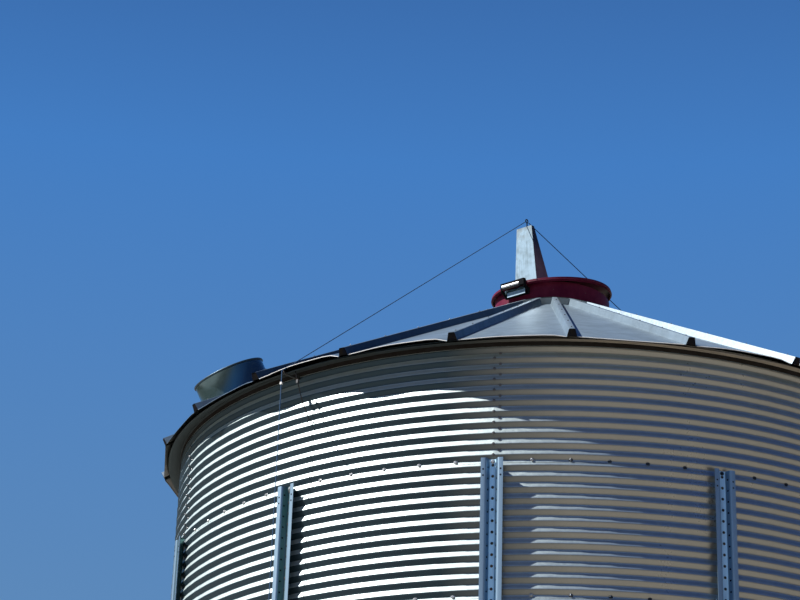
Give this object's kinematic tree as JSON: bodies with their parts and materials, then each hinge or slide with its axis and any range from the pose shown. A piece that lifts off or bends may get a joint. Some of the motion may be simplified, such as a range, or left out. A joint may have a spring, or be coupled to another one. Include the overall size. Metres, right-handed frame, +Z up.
{
  "type": "grain silo",
  "caption": "Round corrugated steel grain silo with outside stiffeners, a ribbed cone roof, a roof vent and a red fill lid worked by a lever and cables.",
  "frame": {"origin": "centre of the silo's base at ground level", "axes": "+Z up along the silo's axis; -Y is the front, through the middle of stiffener_1"},
  "size_m": [5.4856, 5.4856, 8.3807],
  "materials": {
    "wall_sheet": "galvanised, weathered satin",
    "stiffener_steel": "galvanised, satin",
    "roof_sheet": "galvanised, weathered matt",
    "red_paint": "faded satin paint",
    "lever_steel": "galvanised, bright",
    "dark_fittings": "weathered dull",
    "cable_wire": "stranded wire",
    "vent_sheet": "galvanised, dull"
  },
  "bodies": {
    "root": {"wall_bay_1": "wall_sheet", "wall_bay_2": "wall_sheet", "wall_bay_3": "wall_sheet", "wall_bay_4": "wall_sheet", "wall_bay_5": "wall_sheet", "wall_bay_6": "wall_sheet", "stiffener_1": "stiffener_steel", "stiffener_2": "stiffener_steel", "stiffener_3": "stiffener_steel", "stiffener_4": "stiffener_steel", "stiffener_5": "stiffener_steel", "stiffener_6": "stiffener_steel", "stiffener_7": "stiffener_steel", "stiffener_8": "stiffener_steel", "stiffener_9": "stiffener_steel", "stiffener_10": "stiffener_steel", "stiffener_11": "stiffener_steel", "stiffener_12": "stiffener_steel", "roof_panels_1": "roof_sheet", "roof_panels_2": "roof_sheet", "roof_panels_3": "roof_sheet", "roof_panels_4": "roof_sheet", "roof_panels_5": "roof_sheet", "roof_panels_6": "roof_sheet", "roof_panels_7": "roof_sheet", "roof_panels_8": "roof_sheet", "roof_panels_9": "roof_sheet", "roof_panels_10": "roof_sheet", "roof_panels_11": "roof_sheet", "roof_panels_12": "roof_sheet", "base_ring": "stiffener_steel", "eave_ring": "stiffener_steel", "peak_ring": "roof_sheet", "fill_collar": "red_paint", "fill_lid": "red_paint", "lid_hinge": "dark_fittings", "lid_lever": "lever_steel", "lever_eye": "dark_fittings", "open_cable": "cable_wire", "close_cable": "cable_wire", "open_cable_guide": "dark_fittings", "close_cable_guide": "dark_fittings", "open_cable_cleat": "dark_fittings", "close_cable_cleat": "dark_fittings", "eave_hook": "dark_fittings", "vent_body": "vent_sheet", "vent_cap": "vent_sheet"}
  },
  "joints": []
}
